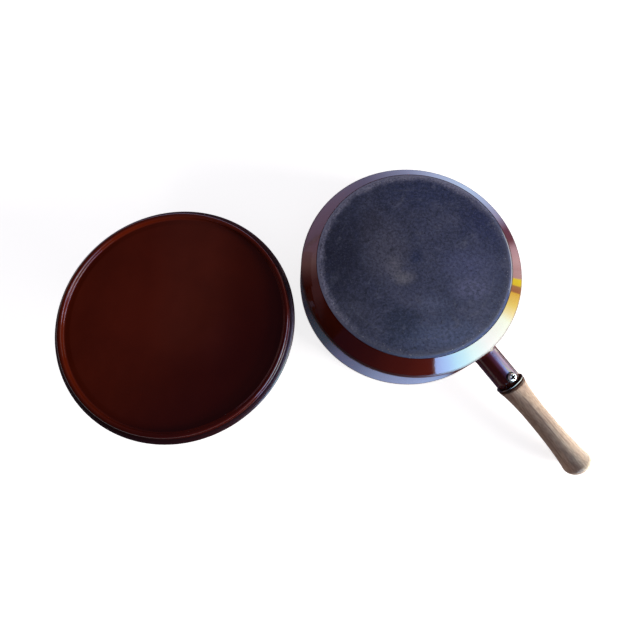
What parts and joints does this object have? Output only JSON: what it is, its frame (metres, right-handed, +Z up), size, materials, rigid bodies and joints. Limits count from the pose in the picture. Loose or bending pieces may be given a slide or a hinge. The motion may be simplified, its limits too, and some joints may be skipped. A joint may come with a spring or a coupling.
{
  "type": "skillet with lid",
  "caption": "Deep enamelled skillet lying face down on its rim, with a socketed turned wooden handle, and its drop-in lid lying beside it on its knob.",
  "frame": {"origin": "on the table that the pan's rim and the lid's knob stand on, under the middle of the whole set's box", "axes": "+Z up, away from the table and out of the pan's base; +X from the lid towards the pan; +Y away from the viewer of the picture"},
  "size_m": [0.5436, 0.3334, 0.064],
  "materials": {
    "enamel": "high-gloss brown vitreous enamel on pressed steel",
    "base": "matt blue-black enamel, scuffed and worn grey at the edge",
    "wood": "pale turned beech, oiled, grain along the handle",
    "collar": "dark brown moulded collar, half gloss",
    "chrome": "bright plated screw",
    "washer": "black fibre washer",
    "steel": "plain bright steel",
    "brass": "turned brass"
  },
  "bodies": {
    "pan": {"pan_body": "enamel", "base_plate": "base", "handle_socket": "enamel", "handle_collar": "collar", "handle_grip": "wood", "handle_screw": "chrome", "screw_washer": "washer"},
    "lid": {"lid_body": "enamel", "knob_stud": "steel", "knob_washer": "steel", "knob_insert": "brass", "lid_knob": "wood"}
  },
  "joints": [
    {"name": "lid_lift", "type": "slide", "parent": "pan", "child": "lid", "axis": [0, 0, 1], "range_m": [0, 0.12]}
  ]
}
